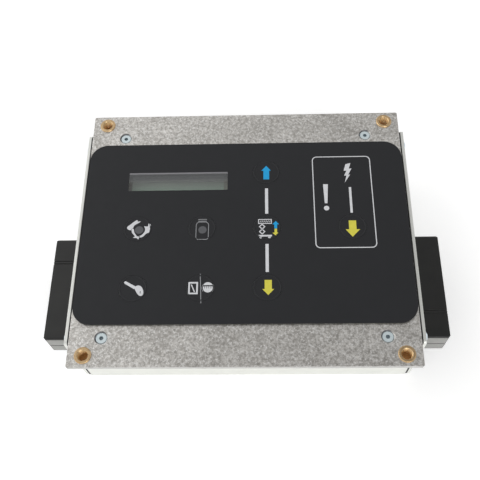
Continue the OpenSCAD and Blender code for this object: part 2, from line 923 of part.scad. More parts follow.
module display_bezel() {
    color([0.35, 0.35, 0.36])
        translate([window_x, window_back, display_board_top])
            difference() {
                slab(bezel_w, bezel_d, bezel_h, window_r);
                translate([0, 0, -cut])
                    slab(bezel_w - 2 * bezel_wall, bezel_d - 2 * bezel_wall,
                        bezel_h - bezel_wall + cut, window_r);
                slab(aperture_w, aperture_d, bezel_h + cut, window_r);
            }
}

module display_glass() {
    color([0.45, 0.52, 0.44])
        translate([window_x, window_back, glass_z])
            slab(glass_w, glass_d, glass_t, window_r);
}

module display_backlight() {
    color([0.92, 0.93, 0.90])
        translate([window_x, window_back, display_board_top])
            slab(glass_w, glass_d, glass_z - display_board_top, window_r);
}

module display_board() {
    color([0.10, 0.35, 0.18])
        translate([window_x, window_back, display_board_z])
            difference() {
                slab(display_board_w, display_board_d, board_t, window_r);
                at_corners(stud_x, stud_y)
                    translate([0, 0, -cut])
                        cylinder(d = stud_d + 2 * fit_gap, h = board_t + 2 * cut);
            }
}

module display_studs() {
    color([0.75, 0.75, 0.75])
        translate([window_x, window_back, 0])
            at_corners(stud_x, stud_y)
                translate([0, 0, display_board_z - nut_h - stud_tip])
                    cylinder(d = stud_d, h = housing_h - display_board_z + nut_h + stud_tip);
}

module display_spacers() {
    color([0.90, 0.90, 0.88])
        translate([window_x, window_back, 0])
            at_corners(stud_x, stud_y)
                translate([0, 0, display_board_top])
                    difference() {
                        cylinder(d = spacer_d, h = housing_h - display_board_top);
                        translate([0, 0, -cut])
                            cylinder(d = stud_d + 2 * fit_gap,
                                h = housing_h - display_board_top + 2 * cut);
                    }
}

module display_nuts() {
    color([0.70, 0.72, 0.74])
        translate([window_x, window_back, 0])
            at_corners(stud_x, stud_y)
                translate([0, 0, display_board_z - nut_h])
                    difference() {
                        hexagon(nut_flats, nut_h);
                        translate([0, 0, -cut])
                            cylinder(d = stud_d + 2 * fit_gap, h = nut_h + 2 * cut);
                    }
}

module ribbon_sockets() {
    color([0.10, 0.10, 0.10])
        translate([ribbon_x, ribbon_y, 0]) {
            translate([0, 0, board_top])
                strip_socket(ribbon_w, ribbon_t);
            translate([0, 0, display_board_z])
                mirror([0, 0, 1])
                    strip_socket(ribbon_w, ribbon_t);
        }
}

module display_ribbon() {
    foot = board_top + socket_size.z - socket_slot_depth + fit_gap;
    head = display_board_z - socket_size.z + socket_slot_depth - fit_gap;
    straight = socket_slot_depth;
    color([0.55, 0.55, 0.58])
        translate([ribbon_x, ribbon_y, 0]) {
            for (z = [foot, head - straight])
                translate([-ribbon_w / 2, -ribbon_t / 2, z])
                    cube([ribbon_w, ribbon_t, straight]);
            hanging_strip(ribbon_w, ribbon_t, foot + straight, head - straight, -ribbon_bow);
        }
}

// Main board and what it carries

module header_pin_holes() {
    for (side = [-1, 1])
        place_header(side)
            for (y = pin_ys, row = [0 : pin_rows - 1])
                translate([pin_tail_x(row) - pin_t / 2 - fit_gap, y - pin_t / 2 - fit_gap,
                        board_z - header_z - cut])
                    cube([pin_t + 2 * fit_gap, pin_t + 2 * fit_gap, board_t + 2 * cut]);
}

module main_board() {
    color([0.08, 0.30, 0.16])
        difference() {
            translate([0, 0, board_z])
                slab(board_w, board_d, board_t, board_t);
            for (p = standoff_places)
                translate([p.x, p.y, board_z - cut])
                    cylinder(d = board_screw_d + 2 * fit_gap, h = board_t + 2 * cut);
            header_pin_holes();
            for (x = transistor_xs, leg = [-1, 0, 1])
                translate([x + leg * leg_pitch, leg_y, board_z - cut])
                    block_at([leg_w + 2 * fit_gap, leg_w + 2 * fit_gap, board_t + 2 * cut]);
        }
}

module board_standoffs() {
    color([0.78, 0.78, 0.76])
        for (p = standoff_places)
            translate([p.x, p.y, 0])
                difference() {
                    union() {
                        translate([0, 0, floor_t])
                            hexagon(standoff_flats, standoff_h);
                        translate([0, 0, spigot_drop])
                            cylinder(d = spigot_d, h = floor_t);
                    }
                    translate([0, 0, board_z - board_screw_l])
                        cylinder(d = board_screw_d + 2 * fit_gap, h = board_screw_l + cut);
                }
}

module pan_screw(l) {
    translate([0, 0, -l])
        cylinder(d = board_screw_d, h = l);
    difference() {
        union() {
            cylinder(d = board_head_d, h = board_head_h / 2);
            translate([0, 0, board_head_h / 2])
                cylinder(d1 = board_head_d, d2 = board_head_d - board_head_h, h = board_head_h / 2);
        }
        translate([0, 0, board_head_h / 2])
            for (turn = [0, 90])
                rotate([0, 0, turn])
                    block_at([board_head_d / 2, recess_w, board_head_h]);
    }
}

module board_screws() {
    color([0.75, 0.77, 0.78])
        for (p = standoff_places)
            translate([p.x, p.y, board_top])
                pan_screw(board_screw_l);
}

module power_transistors() {
    for (x = transistor_xs)
        translate([x, 0, 0])
            difference() {
                union() {
                    color([0.12, 0.12, 0.12])
                        translate([0, heat_bar_y - transistor_d / 2, transistor_z])
                            block_at([transistor_w, transistor_d, transistor_h]);
                    color([0.78, 0.78, 0.76])
                        translate([0, heat_bar_y - tab_t / 2, transistor_z])
                            block_at([transistor_w, tab_t, transistor_h + tab_h]);
                    color([0.78, 0.78, 0.76])
                        for (leg = [-1, 0, 1])
                            translate([leg * leg_pitch, leg_y, board_z - solder_l])
                                block_at([leg_w, leg_w, transistor_z - board_z + solder_l + leg_w]);
                }
                translate([0, heat_bar_y + cut, tab_hole_z])
                    rotate([90, 0, 0])
                        cylinder(d = board_screw_d + 2 * fit_gap, h = tab_t + 2 * cut);
            }
}

module bar_screw_axes(xs, z, y) {
    for (x = xs)
        translate([x, y, z])
            rotate([90, 0, 0])
                children();
}

module heat_bar() {
    color([0.80, 0.80, 0.80])
        difference() {
            translate([-heat_bar_l / 2, heat_bar_y, heat_bar_z])
                cube([heat_bar_l, heat_bar_t, heat_bar_h]);
            bar_screw_axes(transistor_xs, tab_hole_z, heat_bar_y - tab_t)
                translate([0, 0, -transistor_screw_l - fit_gap])
                    cylinder(d = board_screw_d + 2 * fit_gap, h = transistor_screw_l + fit_gap);
            bar_screw_axes([-bar_screw_x, bar_screw_x], heat_bar_z + heat_bar_h / 2, heat_bar_y)
                translate([0, 0, -heat_bar_t - cut])
                    cylinder(d = board_screw_d + 2 * fit_gap, h = heat_bar_t + 2 * cut);
        }
}

module transistor_screws() {
    color([0.75, 0.77, 0.78])
        bar_screw_axes(transistor_xs, tab_hole_z, heat_bar_y - tab_t)
            pan_screw(transistor_screw_l);
}

module heat_bar_screws() {
    color([0.75, 0.77, 0.78])
        bar_screw_axes([-bar_screw_x, bar_screw_x], heat_bar_z + heat_bar_h / 2, heat_bar_y)
            pan_screw(heat_bar_t + wall_bite);
}

module at_share(share) {
    translate([share.x * board_w, share.y * board_d, board_top])
        children();
}

module capacitor(d, h) {
    difference() {
        union() {
            cylinder(d = d - 2 * can_round, h = h);
            translate([0, 0, can_round])
                cylinder(d = d, h = h - 2 * can_round);
            cylinder(d1 = d - 2 * can_round, d2 = d, h = can_round);
            translate([0, 0, h - can_round])
                cylinder(d1 = d, d2 = d - 2 * can_round, h = can_round);
        }
        for (turn = [0, 90])
            rotate([0, 0, turn])
                translate([0, 0, h - vent_depth])
                    block_at([d / 2, vent_depth, vent_depth + cut]);
    }
}

module capacitors() {
    color([0.16, 0.18, 0.26]) {
        for (share = large_capacitor_shares)
            at_share(share)
                capacitor(large_capacitor_d, large_capacitor_h);
        for (share = small_capacitor_shares)
            at_share(share)
                capacitor(small_capacitor_d, small_capacitor_h);
    }
}

module relays() {
    color([0.15, 0.15, 0.16])
        for (share = relay_shares)
            at_share(share) {
                block_at([relay_size.x, relay_size.y, relay_size.z - relay_chamfer]);
                block_at([relay_size.x - 2 * relay_chamfer, relay_size.y - 2 * relay_chamfer,
                    relay_size.z]);
            }
}

// A row of bent leads along one side of a chip
module lead_row(count, pitch, side_y) {
    for (i = [0 : count - 1])
        translate([(i - (count - 1) / 2) * pitch, side_y + lead_l / 2 - lead_t, 0]) {
            block_at([lead_w, lead_l, lead_t]);
            translate([0, -lead_l / 2 + lead_t, 0])
                block_at([lead_w, 2 * lead_t, chip_h / 2]);
        }
}

module processor() {
    at_share(processor_share) {
        color([0.10, 0.10, 0.10])
            translate([0, 0, lead_t])
                block_at([processor_w, processor_w, chip_h]);
        color([0.75, 0.75, 0.72])
            for (turn = [0 : 90 : 270])
                rotate([0, 0, turn])
                    lead_row(processor_leads, lead_pitch, processor_w / 2);
    }
}

module driver_chips() {
    for (share = driver_shares)
        at_share(share) {
            color([0.10, 0.10, 0.10])
                translate([0, 0, lead_t])
                    block_at(chip_size);
            color([0.75, 0.75, 0.72])
                for (turn = [0, 180])
                    rotate([0, 0, turn])
                        lead_row(chip_leads, lead_pitch, chip_size.y / 2);
        }
}

housing();
face_plate();
threaded_inserts();
cover_screws();
end_panel(-1);  // left_end_panel
end_panel(1);  // right_end_panel
end_gasket(-1);  // left_end_gasket
end_gasket(1);  // right_end_gasket
end_panel_screws();
header_shell(-1);  // left_header_shell
header_shell(1);  // right_header_shell
header_seal(-1);  // left_header_seal
header_seal(1);  // right_header_seal
header_pins(-1);  // left_header_pins
header_pins(1);  // right_header_pins
panel_overlay();
display_window();
keypad_spacer();
keypad_circuit();
keypad_tail();
for (i = [0 : len(key_names) - 1])
    key_cap(i);
for (i = [0 : len(key_names) - 1])
    key_contact(i);
display_foam();
display_bezel();
display_glass();
display_backlight();
display_board();
display_studs();
display_spacers();
display_nuts();
display_ribbon();
ribbon_sockets();
tail_socket();
main_board();
board_standoffs();
board_screws();
processor();
driver_chips();
power_transistors();
transistor_screws();
heat_bar();
heat_bar_screws();
capacitors();
relays();
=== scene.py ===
"""The looks of an electronic control unit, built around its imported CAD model."""
import json
import math

import bmesh
import bpy
from mathutils import Euler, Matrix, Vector


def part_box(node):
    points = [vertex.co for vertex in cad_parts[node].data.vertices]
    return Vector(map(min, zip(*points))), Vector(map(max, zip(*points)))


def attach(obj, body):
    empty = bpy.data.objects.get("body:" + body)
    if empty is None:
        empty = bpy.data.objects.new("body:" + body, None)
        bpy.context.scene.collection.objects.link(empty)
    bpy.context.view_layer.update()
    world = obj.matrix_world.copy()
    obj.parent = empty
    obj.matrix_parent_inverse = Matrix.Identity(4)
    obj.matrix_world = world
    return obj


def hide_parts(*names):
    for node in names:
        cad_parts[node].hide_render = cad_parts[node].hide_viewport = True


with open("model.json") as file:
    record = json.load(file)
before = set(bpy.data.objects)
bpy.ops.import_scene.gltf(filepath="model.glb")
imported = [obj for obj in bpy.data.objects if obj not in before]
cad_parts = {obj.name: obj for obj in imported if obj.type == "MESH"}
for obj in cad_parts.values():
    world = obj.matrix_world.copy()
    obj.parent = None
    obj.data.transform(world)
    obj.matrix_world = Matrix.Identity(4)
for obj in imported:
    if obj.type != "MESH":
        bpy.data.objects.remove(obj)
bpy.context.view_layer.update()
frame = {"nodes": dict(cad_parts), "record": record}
MM = 0.001


# Camera, at the photograph's viewing angle. Its turns are in degrees.

LENS_MM = 53.915
SENSOR_MM = 36.0
NEAR_CLIP = 0.01
CAMERA_PLACE = (0.0166, -0.2353, 0.5153)
CAMERA_TURNS = (27.040, 2.267, 0.465)


def add_camera():
    data = bpy.data.cameras.new("camera")
    data.lens = LENS_MM
    data.sensor_width = SENSOR_MM
    data.clip_start = NEAR_CLIP
    camera = bpy.data.objects.new("camera", data)
    camera.location = CAMERA_PLACE
    camera.rotation_euler = Euler([math.radians(turn) for turn in CAMERA_TURNS], "XYZ")
    bpy.context.scene.collection.objects.link(camera)
    bpy.context.scene.camera = camera


add_camera()


# Node helpers

# The sockets of a Mix node by number, because its colours and its numbers share their names
COLOUR_A, COLOUR_B, COLOUR_OUT = 6, 7, 2
NUMBER_A, NUMBER_B, NUMBER_OUT = 2, 3, 0

# Cosines of the angle between the rounded normal and the face's own: below the first the point
# counts as an edge, and above the second as a face
EDGE_FULL, EDGE_NONE = 0.93, 0.995
BEVEL_SAMPLES = 4


def map_range(tree, value, low, high, start, end):
    """Runs from low to high while the value runs from start to end."""
    node = tree.nodes.new("ShaderNodeMapRange")
    node.inputs["From Min"].default_value = start
    node.inputs["From Max"].default_value = end
    node.inputs["To Min"].default_value = low
    node.inputs["To Max"].default_value = high
    tree.links.new(value, node.inputs["Value"])
    return node.outputs["Result"]


class Nodes:
    """A material's node tree, with short calls for the nodes that the finishes use."""

    def __init__(self, name):
        self.material = bpy.data.materials.new(name)
        self.material.use_nodes = True
        self.tree = self.material.node_tree
        self.shader = self.tree.nodes["Principled BSDF"]
        self.place = self.tree.nodes.new("ShaderNodeTexCoord").outputs["Object"]

    def link(self, source, target):
        self.tree.links.new(source, target)

    def fix(self, socket, value):
        """Gives an input of the shader the same value all over the surface."""
        self.shader.inputs[socket].default_value = value

    def feed(self, socket, source):
        """Gives an input of the shader a value that varies."""
        self.link(source, self.shader.inputs[socket])

    def noise(self, size, detail=4.0, rough=0.5):
        node = self.tree.nodes.new("ShaderNodeTexNoise")
        node.inputs["Scale"].default_value = 1.0 / size
        node.inputs["Detail"].default_value = detail
        node.inputs["Roughness"].default_value = rough
        self.link(self.place, node.inputs["Vector"])
        return node.outputs["Fac"]

    def cells(self, size):
        """Softly rounded cells."""
        node = self.tree.nodes.new("ShaderNodeTexVoronoi")
        node.feature = "SMOOTH_F1"
        node.inputs["Scale"].default_value = 1.0 / size
        self.link(self.place, node.inputs["Vector"])
        return node.outputs["Distance"]

    def spread(self, value, low, high, start=0.3, end=0.7):
        return map_range(self.tree, value, low, high, start, end)

    def mask(self, value, start=0.3, end=0.7):
        """Rises from zero to one while the value runs from start to end."""
        return self.spread(value, 0.0, 1.0, start, end)

    def falling_mask(self, value, start, end):
        """Falls from one to zero while the value runs from start to end."""
        return self.spread(value, 1.0, 0.0, start, end)

    def math(self, operation, a, b=None):
        node = self.tree.nodes.new("ShaderNodeMath")
        node.operation = operation
        for socket, value in zip(node.inputs, (a, b)):
            if isinstance(value, (int, float)):
                socket.default_value = value
            elif value is not None:
                self.link(value, socket)
        return node.outputs["Value"]

    def times(self, a, b):
        return self.math("MULTIPLY", a, b)

    def size_of(self, value):
        return self.math("ABSOLUTE", value)

    def blend(self, factor, a, b):
        """The colour a where the factor is zero, and b where it is one."""
        node = self.tree.nodes.new("ShaderNodeMix")
        node.data_type = "RGBA"
        self.link(factor, node.inputs["Factor"])
        for socket, value in ((node.inputs[COLOUR_A], a), (node.inputs[COLOUR_B], b)):
            if isinstance(value, tuple):
                socket.default_value = (*value, 1.0)
            else:
                self.link(value, socket)
        return node.outputs[COLOUR_OUT]

    def axis(self, index):
        """A coordinate of the point, in metres: 0 for X, 1 for Y and 2 for Z."""
        node = self.tree.nodes.new("ShaderNodeSeparateXYZ")
        self.link(self.place, node.inputs["Vector"])
        return node.outputs[index]

    def facing(self):
        """The three parts of the face's own normal."""
        geometry = self.tree.nodes.new("ShaderNodeNewGeometry")
        node = self.tree.nodes.new("ShaderNodeSeparateXYZ")
        self.link(geometry.outputs["True Normal"], node.inputs["Vector"])
        return node.outputs

    def edge(self, radius):
        """One on the edges of the piece and zero on its faces, and the normal rounded over them."""
        bevel = self.tree.nodes.new("ShaderNodeBevel")
        bevel.samples = BEVEL_SAMPLES
        bevel.inputs["Radius"].default_value = radius
        geometry = self.tree.nodes.new("ShaderNodeNewGeometry")
        dot = self.tree.nodes.new("ShaderNodeVectorMath")
        dot.operation = "DOT_PRODUCT"
        self.link(bevel.outputs["Normal"], dot.inputs[0])
        self.link(geometry.outputs["True Normal"], dot.inputs[1])
        edges = self.falling_mask(dot.outputs["Value"], EDGE_FULL, EDGE_NONE)
        return edges, bevel.outputs["Normal"]

    def bump(self, height, distance, normal=None, strength=1.0):
        node = self.tree.nodes.new("ShaderNodeBump")
        node.inputs["Distance"].default_value = distance
        node.inputs["Strength"].default_value = strength
        self.link(height, node.inputs["Height"])
        if normal is not None:
            self.link(normal, node.inputs["Normal"])
        return node.outputs["Normal"]


def srgb(*values):
    """A colour given in 0 to 255 as it shows on a screen, as a linear one."""
    def linear(v):
        v = v / 255.0
        return v / 12.92 if v <= 0.04045 else ((v + 0.055) / 1.055) ** 2.4
    return tuple(linear(v) for v in values)


def scaled(colour, factor):
    return tuple(min(1.0, c * factor) for c in colour)


# Finishes. Their lengths are in metres, as the model's are.

COAT_ROUGH = 0.15


def finish(name, colour, rough, metal=0.0, mottle=0.08, mottle_size=0.012, grain=0.0004,
           depth=0.00001, worn=None, edge_radius=0.0003, coat=0.0, rough_spread=0.06,
           specular=0.5):
    """A procedural finish: mottled colour, uneven gloss, fine grain, and worn, softened edges."""
    n = Nodes(name)
    n.fix("Metallic", metal)
    n.fix("Coat Weight", coat)
    n.fix("Coat Roughness", COAT_ROUGH)
    n.fix("Specular IOR Level", specular)
    patches = n.mask(n.noise(mottle_size))
    body = n.blend(patches, scaled(colour, 1 - mottle), scaled(colour, 1 + mottle))
    edge, soft_normal = n.edge(edge_radius)
    if worn is not None:
        scuffs = n.mask(n.noise(mottle_size / 3, detail=6.0, rough=0.7), start=0.42, end=0.6)
        body = n.blend(n.times(edge, scuffs), body, worn)
    n.feed("Base Color", body)
    cloudy = n.noise(mottle_size * 0.6, detail=5.0)
    n.feed("Roughness", n.spread(cloudy, rough - rough_spread, rough + rough_spread))
    n.feed("Normal", n.bump(n.noise(grain, detail=3.0), depth, soft_normal))
    return n.material


# How far the normal points up on a screw seat, which is a cone at 45 degrees
CONE_UP = 0.707


def tumbled_plate():
    """Tumbled aluminium: cloudy patches, small dents from the tumbling and a fine sparkle.

    The cut sides are plainer than the face, and the screw seats carry painted shade, darkest at
    their back left.
    """
    n = Nodes("tumbled_plate")
    n.fix("Metallic", 1.0)
    clouds = n.mask(n.noise(0.030, detail=6.0, rough=0.68), start=0.34, end=0.66)
    body = n.blend(clouds, srgb(200, 197, 192), srgb(235, 232, 227))
    chips = n.mask(n.noise(0.0024, detail=5.0, rough=0.8), start=0.40, end=0.60)
    body = n.blend(n.times(chips, 0.8), body, srgb(152, 148, 142))
    flecks = n.mask(n.noise(0.0015, detail=4.0, rough=0.8), start=0.50, end=0.62)
    body = n.blend(n.times(flecks, 0.75), body, srgb(250, 249, 247))
    edge, soft_normal = n.edge(0.0004)
    body = n.blend(n.times(edge, 0.6), body, srgb(232, 231, 228))

    # Painted shade in the screw seats: each cone is darkened, most on its back left wall, as if
    # that wall lay in shadow.
    right, back, up = n.facing()
    off_cone = n.size_of(n.math("SUBTRACT", up, CONE_UP))
    seat = n.falling_mask(off_cone, start=0.05, end=0.12)
    shaded = n.spread(n.math("SUBTRACT", right, back), 0.25, 0.9, start=-0.3, end=0.4)
    body = n.blend(n.times(seat, shaded), body, srgb(86, 87, 90))
    cut_side = n.falling_mask(n.size_of(up), start=0.2, end=0.5)
    body = n.blend(n.times(cut_side, 0.8), body, srgb(190, 190, 188))
    n.feed("Base Color", body)
    n.feed("Roughness", n.spread(n.noise(0.003, detail=5.0, rough=0.7), 0.34, 0.48))

    face = n.spread(cut_side, 1.0, 0.2, start=0.0, end=1.0)
    dents = n.bump(n.times(n.cells(0.0026), face), 0.00007, soft_normal, strength=0.6)
    pits = n.times(n.noise(0.0010, detail=4.0, rough=0.7), face)
    n.feed("Normal", n.bump(pits, 0.00006, dents, strength=0.7))
    return n.material


# The headers' middle in Y, and the distances from it between which their end faces begin
HEADER_MIDDLE_Y = -0.0332
HEADER_ENDS = (0.0378, 0.0384)


def header_plastic():
    """Satin black plastic whose end faces are painted a paler grey, a painted reflection of the
    bright surroundings.
    """
    n = Nodes("header_plastic")
    n.fix("Specular IOR Level", 0.5)
    ends = n.mask(n.size_of(n.facing()[1]), start=0.80, end=0.95)
    off_middle = n.size_of(n.math("SUBTRACT", n.axis(1), HEADER_MIDDLE_Y))
    outside = n.mask(off_middle, *HEADER_ENDS)
    patches = n.mask(n.noise(0.01, detail=4.0))
    black = n.blend(patches, srgb(17, 17, 16), srgb(25, 25, 23))
    # Painted reflection: the end faces are a paler grey, as if the bright floor shone in them at a
    # grazing angle.
    reflection_grey = n.blend(patches, srgb(140, 140, 136), srgb(152, 152, 148))
    edge, soft_normal = n.edge(0.0004)
    black = n.blend(n.times(edge, 0.5), black, srgb(58, 58, 56))
    n.feed("Base Color", n.blend(n.times(ends, outside), black, reflection_grey))
    n.feed("Roughness", n.spread(n.noise(0.006, detail=5.0, rough=0.6), 0.30, 0.42))
    n.feed("Normal", n.bump(n.noise(0.0005, detail=3.0), 0.00001, soft_normal))
    return n.material


# The window's border under the overlay in millimetres, and the film's opacity: all over, and what
# the painted shade band and the painted highlight along the back edge add to it
WINDOW_LIP = 3.0
CLEAR_ALPHA = 0.14
SHADE_BAND_ALPHA = 0.32
HIGHLIGHT_ALPHA = 0.36

# How far from the border at the back, in metres, the painted shade band and the painted highlight
# begin and are full
SHADE_BAND_REACH = (0.0085, 0.0055)
HIGHLIGHT_REACH = (0.00125, 0.00095)


def clear_film():
    """The clear window: mostly see-through, with painted shade over its back half and a painted
    highlight along its back edge.
    """
    n = Nodes("clear_film")
    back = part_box("display_window")[1].y - WINDOW_LIP * MM
    shade_band = n.mask(n.axis(1), *(back - reach for reach in SHADE_BAND_REACH))
    rim = n.mask(n.axis(1), *(back - reach for reach in HIGHLIGHT_REACH))
    clear = n.blend(n.noise(0.02), srgb(150, 152, 150), srgb(166, 168, 165))
    # Painted shade darkens the back half, and a painted highlight brightens the strip at the back
    # edge.
    body = n.blend(rim, n.blend(shade_band, clear, srgb(114, 116, 117)), srgb(146, 145, 149))
    n.feed("Base Color", body)
    film = n.math("ADD", n.times(shade_band, SHADE_BAND_ALPHA), CLEAR_ALPHA)
    n.feed("Alpha", n.math("ADD", film, n.times(rim, HIGHLIGHT_ALPHA)))
    n.fix("Specular IOR Level", 0.12)
    n.feed("Roughness", n.spread(n.noise(0.01, detail=5.0), 0.50, 0.58))
    n.feed("Normal", n.bump(n.noise(0.004, detail=2.0), 0.00001))
    return n.material


# The cells of the display, the shares of its depth between which painted shade darkens it, and
# where its glass ends on the left and on the right
CELL_W = 3.55 * MM
CELL_D = 5.6 * MM
CELL_GAP = 0.25 * MM
SHADE_SPAN = (0.35, 0.72)
GLASS_LEFT = (-0.0836, -0.0822)
GLASS_RIGHT = (-0.0158, -0.0148)


def display_glass():
    """The unlit display: painted shade makes it darker towards the back, and faint cells show in
    it.
    """
    n = Nodes("display_glass")
    n.fix("Coat Weight", 0.3)
    low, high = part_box("display_glass")
    depth = high.y - low.y
    painted_shade = n.mask(n.axis(1), *(low.y + share * depth for share in SHADE_SPAN))
    # Painted shade: greyer and darker towards the back, where the window's back wall shadows the
    # display.
    body = n.blend(painted_shade, srgb(156, 182, 165), srgb(140, 142, 141))
    left_end = n.falling_mask(n.axis(0), *GLASS_LEFT)
    body = n.blend(left_end, body, srgb(74, 64, 62))
    right_end = n.spread(n.axis(0), 0.0, 0.6, *GLASS_RIGHT)
    body = n.blend(right_end, body, srgb(120, 112, 98))
    rows = n.tree.nodes.new("ShaderNodeTexBrick")
    rows.inputs["Scale"].default_value = 1.0
    rows.inputs["Brick Width"].default_value = CELL_W
    rows.inputs["Row Height"].default_value = CELL_D
    rows.inputs["Mortar Size"].default_value = CELL_GAP
    rows.offset = 0.0
    n.link(n.place, rows.inputs["Vector"])
    body = n.blend(n.times(rows.outputs["Fac"], 0.08), body, srgb(170, 178, 160))
    n.feed("Base Color", body)
    n.feed("Roughness", n.spread(n.noise(0.01), 0.12, 0.22))
    n.feed("Normal", n.bump(n.noise(0.01, detail=2.0), 0.00001))
    return n.material


# The inserts' flange in millimetres and the axis of the back right one, and the radius and the
# height, in metres, between which the bore's darker, duller brass ends
FLANGE_R = 5.7
INSERT_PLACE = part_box("threaded_inserts")[1] - Vector((FLANGE_R * MM, FLANGE_R * MM, 0.0))
DULL_BORE_R = (0.0041, 0.0043)
BRIGHT_Z = (0.0680, 0.0704)


def machined_brass():
    """Turned brass, darker, duller and less metallic down in the thread."""
    n = Nodes("machined_brass")
    off_x = n.math("SUBTRACT", n.size_of(n.axis(0)), INSERT_PLACE.x)
    off_y = n.math("SUBTRACT", n.size_of(n.axis(1)), INSERT_PLACE.y)
    squares = n.math("ADD", n.math("POWER", off_x, 2.0), n.math("POWER", off_y, 2.0))
    off_axis = n.math("SQRT", squares)
    # Below the flange's top and inside the thread's reach, the brass is darker and less metallic.
    bright_metal = n.math("MAXIMUM", n.mask(n.axis(2), *BRIGHT_Z), n.mask(off_axis, *DULL_BORE_R))
    body = n.blend(n.noise(0.003), srgb(214, 188, 148), srgb(198, 165, 123))
    n.feed("Base Color", n.blend(bright_metal, srgb(240, 203, 142), body))
    n.feed("Metallic", n.spread(bright_metal, 0.1, 1.0, start=0.0, end=1.0))
    n.feed("Roughness", n.spread(n.noise(0.002, detail=5.0), 0.20, 0.34))
    soft_normal = n.edge(0.0002)[1]
    n.feed("Normal", n.bump(n.noise(0.0004, detail=3.0), 0.00001, soft_normal))
    return n.material


# Heights between which a screw head turns into its socket, where painted shade darkens it
SOCKET_Z = (0.0687, 0.0691)


def zinc_screw():
    """Bluish zinc plate on a screw head, with painted shade round its edges and down in its socket.
    """
    n = Nodes("zinc_screw")
    body = n.blend(n.noise(0.004), srgb(210, 224, 228), srgb(224, 235, 238))
    edge, soft_normal = n.edge(0.0005)
    # Painted shade round the head's edge, where it meets its seat.
    body = n.blend(n.times(edge, 0.55), body, srgb(104, 116, 126))
    # Painted shade down in the socket.
    socket = n.falling_mask(n.axis(2), *SOCKET_Z)
    n.feed("Base Color", n.blend(socket, body, srgb(128, 142, 150)))
    n.fix("Metallic", 0.5)
    n.feed("Roughness", n.spread(n.noise(0.003, detail=5.0), 0.24, 0.36))
    n.feed("Normal", n.bump(n.noise(0.0006, detail=3.0), 0.000003, soft_normal))
    return n.material


def ink(name, colour):
    """Screen-printed ink: a slightly uneven, fine-grained layer."""
    return finish(name, colour, rough=0.5, mottle=0.05, mottle_size=0.003, grain=0.00025,
                  depth=0.000004, edge_radius=0.00002, specular=0.3)


FILM = dict(colour=srgb(28, 29, 32), rough=0.55, rough_spread=0.025, mottle=0.05,
            mottle_size=0.012, grain=0.00035, depth=0.000012, edge_radius=0.0002, specular=0.36)

# The plain finishes, under the names of the material slots that they dress
PLAIN_FINISHES = {
    "box_aluminium": dict(colour=srgb(231, 232, 227), rough=0.40, rough_spread=0.03, metal=0.80,
                          mottle=0.03, mottle_size=0.02, grain=0.0006, depth=0.00002,
                          worn=srgb(244, 244, 242), edge_radius=0.0004),
    "zinc_steel": dict(colour=srgb(218, 229, 236), rough=0.30, metal=0.55, mottle=0.03,
                       mottle_size=0.004, grain=0.0006, depth=0.000003,
                       worn=srgb(236, 242, 246), edge_radius=0.0002),
    "overlay_film": dict(FILM, worn=srgb(50, 51, 54)),
    "key_film": dict(FILM, worn=srgb(38, 39, 42)),
    "layer_film": dict(colour=srgb(206, 207, 200), rough=0.4),
    "circuit_film": dict(colour=srgb(186, 180, 152), rough=0.4),
    "contact_metal": dict(colour=srgb(214, 214, 208), rough=0.25, metal=1.0),
    "gasket_rubber": dict(colour=srgb(26, 26, 27), rough=0.7, mottle=0.15, grain=0.0003,
                          depth=0.00002),
    "pin_metal": dict(colour=srgb(214, 204, 170), rough=0.28, metal=1.0, mottle=0.05,
                      mottle_size=0.003),
    "display_frame": dict(colour=srgb(70, 66, 62), rough=0.45, metal=0.6, mottle_size=0.006,
                          worn=srgb(140, 128, 112)),
    "light_guide": dict(colour=srgb(235, 236, 232), rough=0.3),
    "green_board": dict(colour=srgb(30, 92, 52), rough=0.32, mottle=0.12, mottle_size=0.004,
                        coat=0.3),
    "plain_steel": dict(colour=srgb(206, 208, 210), rough=0.3, metal=1.0, mottle=0.06,
                        mottle_size=0.003),
    "white_plastic": dict(colour=srgb(232, 228, 216), rough=0.45),
    "black_plastic": dict(colour=srgb(34, 34, 35), rough=0.5, worn=srgb(60, 60, 60)),
    "ribbon_plastic": dict(colour=srgb(150, 150, 156), rough=0.5),
    "tail_film": dict(colour=srgb(196, 138, 74), rough=0.35),
    "capacitor_sleeve": dict(colour=srgb(40, 48, 82), rough=0.28, coat=0.4),
    "bar_aluminium": dict(colour=srgb(214, 214, 212), rough=0.36, metal=1.0, mottle=0.05,
                          mottle_size=0.01),
}
FINISHES = {name: finish(name, **values) for name, values in PLAIN_FINISHES.items()}
FINISHES["plate_aluminium"] = tumbled_plate()
FINISHES["insert_brass"] = machined_brass()
FINISHES["clear_window"] = clear_film()
FINISHES["header_plastic"] = header_plastic()
FINISHES["display_glass"] = display_glass()

# A node whose finish differs from that of its slot
OWN_FINISHES = {"cover_screws": zinc_screw()}

WHITE_INK = ink("white_ink", srgb(214, 215, 218))
DIM_INK = ink("dim_ink", srgb(150, 151, 154))
GREY_INK = ink("grey_ink", srgb(90, 91, 94))
BLUE_INK = ink("blue_ink", srgb(30, 158, 216))
YELLOW_INK = ink("yellow_ink", srgb(214, 206, 78))
BLACK_INK = ink("black_ink", srgb(30, 31, 34))


def dress_frame():
    """Gives every CAD node the finish of its material slot, or one of its own."""
    for part in frame["record"]["subparts"]:
        node = frame["nodes"][part["node"]]
        node.data.materials.clear()
        node.data.materials.append(OWN_FINISHES.get(part["node"], FINISHES[part["material_slot"]]))


dress_frame()


# Print on the keypad. Flat shapes are in millimetres from a key's centre or from the unit's centre.

INK_T = 0.03
INK_SUNK = 0.015
OVERLAY_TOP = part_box("panel_overlay")[1].z / MM
KEY_LOW, KEY_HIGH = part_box("key_up")
KEY_EDGE_R = (KEY_HIGH.x - KEY_LOW.x) / MM / 2

